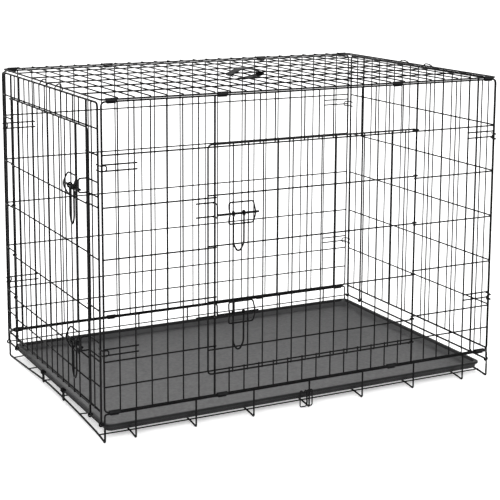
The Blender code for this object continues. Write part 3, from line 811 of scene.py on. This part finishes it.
def make_pull(name, plane, post, height, body):
    shape = Shape()
    left, right = (post + leg for leg in PULL_LEGS)
    middle = (left + right) / 2
    flat = (right - left) / 2 * 0.30
    outline = (
        (left, PULL_RING),
        (left, PULL_STRAIGHT),
        (middle - flat, PULL_TIP),
        (middle + flat, PULL_TIP),
        (right, PULL_STRAIGHT),
        (right, PULL_RING),
    )
    path = [plane.at(u, height - drop, ROD_OUT) for u, drop in outline]
    tube(shape, rounded(path, 0.008), PULL_WIRE)
    for u in (left, right):
        ring = ring_path(plane.at(u, height, ROD_OUT), plane.out, plane.v, PULL_RING)
        tube(shape, ring, PULL_WIRE * 0.95, closed=True)
    shape.piece(f"{name}_pull_wire", body, wire_finish, "coated_wire", f"{name}_pull")


def make_keeper(name, plane, post, height, body):
    shape = Shape()
    place = post + KEEPER_STEP
    upper, lower = KEEPER_LEGS
    outline = (
        (KEEPER_FOOT_OUT, upper),
        (ARCH_OUT, upper),
        (ARCH_OUT, lower),
        (KEEPER_FOOT_OUT, lower),
    )
    path = [plane.at(place, height + v, out) for out, v in outline]
    tube(shape, rounded(path, 0.0062), LATCH_WIRE)
    for leg in KEEPER_LEGS:
        bead(shape, plane.at(place, height + leg, 0.0008), (KEEPER_BEAD, KEEPER_BEAD, KEEPER_BEAD))
    shape.piece(f"{name}_keeper_wire", body, wire_finish, "coated_wire", f"{name}_keeper")


def make_latches(door, plane, post, heights, panel_body):
    for label, height in heights.items():
        name = f"{door}_{label}"
        make_keeper(name, plane, post, height, panel_body)
        make_bracket(name, plane, post, height, door)
        make_bolt(name, plane, post, height, f"{name}_bolt")
        make_pull(name, plane, post, height, f"{name}_pull")


# Floor basket


def middle_places():
    """Places along the crate of the floor wires between its two ends."""
    return [(i + 0.5) * 2 * HALF_L / FLOOR_GAPS - HALF_L for i in range(FLOOR_GAPS)]


def bow_height(bow, y):
    """Height of a bowed floor wire at y."""
    for (low, z_low), (high, z_high) in zip(bow, bow[1:]):
        if y <= high:
            share = max(0.0, (y - low) / (high - low))
            return z_low + (z_high - z_low) * share
    return bow[-1][1]


def bowed_wire(shape, x, bow, top, radius):
    """A floor wire: down from the rail, across on its bow, and up to the other rail."""
    reach = HALF_W - BOW_INSET
    path = [(x, -HALF_W, top), (x, -HALF_W, FLOOR_WIRE)]
    for step in range(BOW_STEPS + 1):
        y = -reach + 2 * reach * step / BOW_STEPS
        before, here, after = (bow_height(bow, y + shift) for shift in (-BOW_SOFTEN, 0.0, BOW_SOFTEN))
        path.append((x, y, (before + 2 * here + after) / 4))
    path += [(x, HALF_W, FLOOR_WIRE), (x, HALF_W, top)]
    tube(shape, rounded(path, 0.0055), radius)


def make_floor():
    shape = Shape()
    rails = (-HALF_W, HALF_W)
    places = middle_places()
    for y in rails:
        path = [
            (-HALF_L, y, RAIL_TAIL),
            (-HALF_L, y, FLOOR_RAIL_Z + RAIL_DRAW),
            (HALF_L, y, FLOOR_RAIL_Z + RAIL_DRAW),
            (HALF_L, y, RAIL_TAIL),
        ]
        tube(shape, rounded(path, 0.007), RAIL)
    for x in places:
        bowed_wire(shape, x, BOW, FLOOR_RAIL_Z, FLOOR_WIRE)
        for y in rails:
            bead(shape, Vector((x, y, FLOOR_RAIL_Z)), RAIL_BEAD)
    bowed_wire(shape, -HALF_L, LEFT_BOW, END_LEG_TOP, THICK)
    bowed_wire(shape, HALF_L, BOW, END_LEG_TOP, THICK)
    for index in range(RUNS):
        y = (index - (RUNS - 1) / 2) * RUN_SPACING
        middle_z = bow_height(BOW, y) + RUN_LIFT
        path = [
            (-HALF_L - RUN_OVERHANG, y, bow_height(LEFT_BOW, y) + RUN_LIFT),
            (places[0], y, middle_z),
            (HALF_L + RUN_OVERHANG, y, middle_z),
        ]
        tube(shape, rounded(path, 0.016), THIN)
        for x in places:
            bead(shape, Vector((x, y, middle_z - RUN_LIFT / 2)), RUN_BEAD)
    tube(shape, [(-HALF_L, BACK_RUN_Y, BACK_RUN_Z), (HALF_L, BACK_RUN_Y, BACK_RUN_Z)], THIN)
    for left, right in FRONT_HAIRPINS:
        front_hairpin(shape, left, right)
    shape.piece("floor_basket", "floor", wire_finish, "coated_wire", *FLOOR_NODES)


def front_hairpin(shape, left, right):
    """A small U of wire that hangs before the pan, its ends curled over."""
    y = -HALF_W - HAIRPIN_OUT
    up = Vector((0, 0, 1))
    rings = []
    for u, turn in ((left, 1), (right, -1)):
        centre = Vector((u + turn * HAIRPIN_CURL, y, HAIRPIN_TOP))
        rings.append(ring_path(centre, Vector((-turn, 0, 0)), up, HAIRPIN_CURL, 0.0, 250.0, 10))
    first, second = rings
    path = [
        *reversed(first[1:]),
        first[0] - up * 0.001,
        Vector((left, y, HAIRPIN_FOOT)),
        Vector((right, y, HAIRPIN_FOOT)),
        second[0] - up * 0.001,
        *second[1:],
    ]
    tube(shape, rounded(path, 0.0050, steps=3), THIN)


def make_hinge_wires():
    for label, side in (("left", -1), ("right", 1)):
        shape = Shape()
        end = HALF_W - PIVOT_INSET
        x = side * END_X
        inner = side * (HALF_L + PIVOT_OVERHANG)
        path = [
            (inner, -end, END_HINGE_Z),
            (x, -end + PIVOT_BEND, END_HINGE_Z),
            (x, end - PIVOT_BEND, END_HINGE_Z),
            (inner, end, END_HINGE_Z),
        ]
        tube(shape, rounded(path, 0.006), THICK)
        node = f"{label}_hinge_wire"
        shape.piece(f"{label}_pivot_wire", "floor", wire_finish, "coated_wire", node)


def make_pan_stops():
    for number in (1, 2):
        name = f"pan_stop_{number}"
        shape = Shape()
        low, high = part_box(name)
        y = (low.y + high.y) / 2
        for side in (-1, 1):
            centre = Vector((-END_X, y + side * STOP_HALF, END_HINGE_Z))
            tube(shape, ring_path(centre, LEFT.out, LEFT.v, CURL), CURL_WIRE, closed=True)
        path = [
            (-END_X, y - STOP_HALF, END_HINGE_Z - CURL),
            (-END_X, y - STOP_HALF, low.z + STOP_RISE),
            (-END_X, y + STOP_HALF, low.z + STOP_RISE),
            (-END_X, y + STOP_HALF, END_HINGE_Z - CURL),
        ]
        tube(shape, rounded(path, 0.0035), THIN * 1.15)
        shape.piece(f"{name}_hairpin", name, wire_finish, "coated_wire", name)


# Pan


def rectangle_ring(half_x, half_y, z, radius, steps=8):
    """Points round a level rectangle with round corners."""
    points = []
    for sign_x, sign_y, start in ((1, 1, 0), (-1, 1, 90), (-1, -1, 180), (1, -1, 270)):
        for step in range(steps + 1):
            angle = math.radians(start + 90 * step / steps)
            points.append(Vector((
                sign_x * (half_x - radius) + radius * math.cos(angle),
                sign_y * (half_y - radius) + radius * math.sin(angle),
                z,
            )))
    return points


def make_pan():
    low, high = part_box("pan")
    half_x, half_y = high.x, high.y
    top, base = high.z, low.z
    lip = top - PAN_LIP
    # From under the base, up outside, over the rim and down inside: (inset, height, corner radius)
    profile = (
        (0.0092, base, 0.013),
        (0.0078, base + 0.0005, 0.014),
        (0.0068, base + 0.0020, 0.015),
        (0.0048, lip - 0.0006, 0.017),
        (0.0044, lip, 0.017),
        (0.0006, lip + 0.0004, 0.020),
        (0.0000, lip + 0.0010, 0.020),
        (0.0000, top - 0.0012, 0.020),
        (0.0004, top - 0.0004, 0.020),
        (0.0012, top, 0.020),
        (0.0072, top, 0.017),
        (0.0084, top - 0.0005, 0.016),
        (0.0090, top - 0.0018, 0.016),
        (0.0100, top - 0.0050, 0.015),
        (0.0112, top - 0.0060, 0.014),
        (0.0126, top - 0.0064, 0.014),
        (0.0138, top - 0.0074, 0.013),
        (0.0166, base + 0.0052, 0.012),
        (0.0182, base + 0.0034, 0.011),
        (0.0210, base + 0.0026, 0.010),
    )
    shape = Shape()
    rings = [rectangle_ring(half_x - inset, half_y - inset, z, radius) for inset, z, radius in profile]
    count = len(rings[0])
    points = [point for ring in rings for point in ring]
    faces = []
    for index in range(len(rings) - 1):
        for k in range(count):
            n = (k + 1) % count
            faces.append((
                index * count + k,
                index * count + n,
                (index + 1) * count + n,
                (index + 1) * count + k,
            ))
    faces.append(tuple(range(count)))
    faces.append(tuple((len(rings) - 1) * count + k for k in range(count)))
    shape.add(points, faces)
    obj = shape.piece("pan_tray", "pan", pan_finish, "pan_plastic", "pan")
    obj.data.materials.append(pan_shade_finish)
    # Upward faces inside the rim keep the plastic; the rest get its darker copy as painted shade
    for polygon in obj.data.polygons:
        inner = abs(polygon.center.x) < half_x - PAN_SHADE_BAND and abs(polygon.center.y) < half_y - PAN_SHADE_BAND
        polygon.material_index = 0 if inner and polygon.normal.z > 0.2 else 1
    obj.data.set_sharp_from_angle(angle=math.radians(50))


# Clips and other bent sheets


def arc_points(centre, radius, angles):
    """Points in two dimensions round a centre, at the angles in degrees."""
    path = []
    for angle in angles:
        turn = math.radians(angle)
        path.append((centre[0] + radius * math.cos(turn), centre[1] + radius * math.sin(turn)))
    return path


def sheet_piece(name, rows, body, material, thickness, edge):
    """A bent sheet of even thickness through rows of points, its edges rounded."""
    sheet = bmesh.new()
    rows = [[sheet.verts.new(point) for point in row] for row in rows]
    for first, second in zip(rows, rows[1:]):
        for a, b, c, d in zip(first, first[1:], second[1:], second):
            sheet.faces.new((a, b, c, d))
    bmesh.ops.recalc_face_normals(sheet, faces=sheet.faces)
    mesh = bpy.data.meshes.new(name)
    sheet.to_mesh(mesh)
    sheet.free()
    for polygon in mesh.polygons:
        polygon.use_smooth = True
    mesh.materials.append(material)
    obj = bpy.data.objects.new(name, mesh)
    bpy.context.scene.collection.objects.link(obj)
    thick = obj.modifiers.new("sheet", "SOLIDIFY")
    thick.thickness = thickness
    thick.offset = 0.0
    bevel = obj.modifiers.new("edge", "BEVEL")
    bevel.width = edge
    bevel.segments = 2
    bevel.limit_method = "ANGLE"
    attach(obj, body)
    return obj


def clip_profile():
    """Points (out, up) round both rails: the lower lip, under, up behind and over to the front."""
    lower = arc_points((0, -CLIP_GAP), CLIP_RADIUS, range(-20, -181, -20))
    upper = arc_points((0, CLIP_GAP), CLIP_RADIUS, range(180, -1, -20))
    return [*lower, *upper, (CLIP_RADIUS, CLIP_GAP - CLIP_LIP)]


def make_clip(name, body, side):
    """A folded steel sleeve: its upper fold is the longer, and its lower lip tucks in front."""
    low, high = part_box(name)
    centre = (low + high) / 2
    half = (high.x - low.x) / 2
    rows = []
    for out, up in clip_profile():
        reach = half * (1.0 if up > -0.0005 else CLIP_LOWER_SHARE)
        across = centre + Vector((0, side * out, up))
        rows.append([across + Vector((share * reach, 0, 0)) for share in CLIP_ROWS])
    obj = sheet_piece(f"{name}_sleeve", rows, body, clip_finish, CLIP_SHEET, CLIP_EDGE)
    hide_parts(name)


def make_clips():
    for label, side in (("front", -1), ("back", 1)):
        for edge in ("bottom", "top"):
            for number in range(1, 5):
                make_clip(f"{label}_{edge}_rail_clip_{number}", f"{label}_side", side)


# Carrying strap


def catmull(points, steps=8):
    """A smooth curve through 2-D points."""
    padded = [points[0], *points, points[-1]]
    result = []
    for p0, p1, p2, p3 in zip(padded, padded[1:], padded[2:], padded[3:]):
        for step in range(steps):
            t = step / steps
            result.append(tuple(
                0.5 * (
                    2 * b
                    + (c - a) * t
                    + (2 * a - 5 * b + 4 * c - d) * t * t
                    + (3 * b - a - 3 * c + d) * t ** 3
                )
                for a, b, c, d in zip(p0, p1, p2, p3)
            ))
    result.append(tuple(points[-1]))
    return result


def make_strap():
    """The strap: a band arched between two cross wires, and a tongue folded back under it."""
    low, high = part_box("carry_strap")
    wire_z = TOP_Z + CROSS_OUT
    grip = STRAP_GRIP
    left = -1.5 * PITCH - STRAP_SLACK
    right = 0.5 * PITCH + STRAP_SLACK
    crown = high.z - STRAP_THICK / 2 - 0.0003
    ring_left = arc_points((left, wire_z), grip, range(-60, -271, -30))
    ring_right = arc_points((right, wire_z), grip, range(90, -121, -30))
    arch = catmull([
        (left + 0.002, wire_z + grip),
        (left + 0.014, wire_z + grip + 0.55 * (crown - wire_z - grip)),
        (left + 0.030, crown),
        (right - 0.026, crown - 0.0022),
        (right - 0.002, wire_z + grip + 0.0012),
    ])
    tongue = catmull([
        (right - 0.004, wire_z - grip - 0.0006),
        (right - 0.020, wire_z - 0.0072),
        (right - 0.038, wire_z - 0.0102),
        (right - 0.056, wire_z - 0.0118),
    ])
    width = high.y - low.y
    rows = []
    for x, z in ring_left + arch + ring_right + tongue:
        rows.append([(x, low.y + width * share, z) for share in STRAP_ROWS])
    band = sheet_piece(
        "carry_strap_band", rows, "top", strap_finish, STRAP_THICK, STRAP_EDGE
    )
    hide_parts("carry_strap")


# Floor, light and camera


def make_stage():
    bpy.ops.mesh.primitive_plane_add(size=60.0, location=(0, 0, 0))
    floor = bpy.context.object
    floor.name = "studio_floor"
    material, _, shader = new_material("studio_white")
    shader.inputs["Base Color"].default_value = (*grey(0.97), 1.0)
    shader.inputs["Roughness"].default_value = 0.9
    shader.inputs["Specular IOR Level"].default_value = 0.1
    shader.inputs["Emission Color"].default_value = (*grey(1.0), 1.0)
    shader.inputs["Emission Strength"].default_value = FLOOR_GLOW
    floor.data.materials.append(material)
    world = bpy.data.worlds.new("studio")
    world.use_nodes = True
    sky = world.node_tree.nodes["Background"]
    sky.inputs["Color"].default_value = (*grey(1.0), 1.0)
    sky.inputs["Strength"].default_value = SKY_STRENGTH
    bpy.context.scene.world = world
    bpy.context.scene.view_settings.view_transform = "Standard"


def area_light(name, place, target, size, power):
    data = bpy.data.lights.new(name, "AREA")
    data.shape = "DISK"
    data.size = size
    data.energy = power
    light = bpy.data.objects.new(name, data)
    light.location = place
    light.rotation_mode = "QUATERNION"
    light.rotation_quaternion = (Vector(target) - Vector(place)).to_track_quat("-Z", "Y")
    bpy.context.scene.collection.objects.link(light)


def make_camera():
    data = bpy.data.cameras.new("camera")
    data.lens = CAMERA_LENS
    data.sensor_width = 36.0
    data.shift_x, data.shift_y = CAMERA_SHIFT
    camera = bpy.data.objects.new("camera", data)
    yaw, pitch, roll = (math.radians(value) for value in (CAMERA_YAW, CAMERA_PITCH, CAMERA_ROLL))
    aim = Matrix.Rotation(yaw, 4, "Z") @ Matrix.Rotation(math.pi / 2 + pitch, 4, "X")
    camera.matrix_world = Matrix.Translation(CAMERA_PLACE) @ aim @ Matrix.Rotation(roll, 4, "Z")
    bpy.context.scene.collection.objects.link(camera)
    bpy.context.scene.camera = camera


make_camera()
make_stage()
area_light("key", (-2.4, -2.6, 3.4), (0, 0, 0.4), 2.2, 60)
make_floor()
make_hinge_wires()
make_pan()
make_pan_stops()
make_front_panel()
make_back_panel()
make_top_panel()
make_left_end()
make_right_end()
make_door(
    "side_door_wirework",
    "side_door",
    FRONT,
    latch=SIDE_LATCH_X,
    hinge=SIDE_HINGE_X,
    edges=(5.55, 0.94),
    counts=(1.94, 2.95, 4.07, 5.05),
    curl_counts=(0.965, 1.94, 2.95, 4.07, 5.05, 5.56),
    node="side_door_panel",
)
make_door(
    "end_door_wirework",
    "end_door",
    LEFT,
    latch=END_LATCH_Y,
    hinge=END_HINGE_Y,
    edges=(5.99, 0.525),
    counts=(2.0, 2.94, 4.07, 5.05, 5.5),
    curl_counts=(0.547, 2.94, 4.07, 5.05, 5.967),
    node="end_door_panel",
)
make_latches("side_door", FRONT, SIDE_LATCH_X, side_latches, "front_side")
make_latches("end_door", LEFT, END_LATCH_Y, end_latches, "left_end")
make_clips()
make_strap()
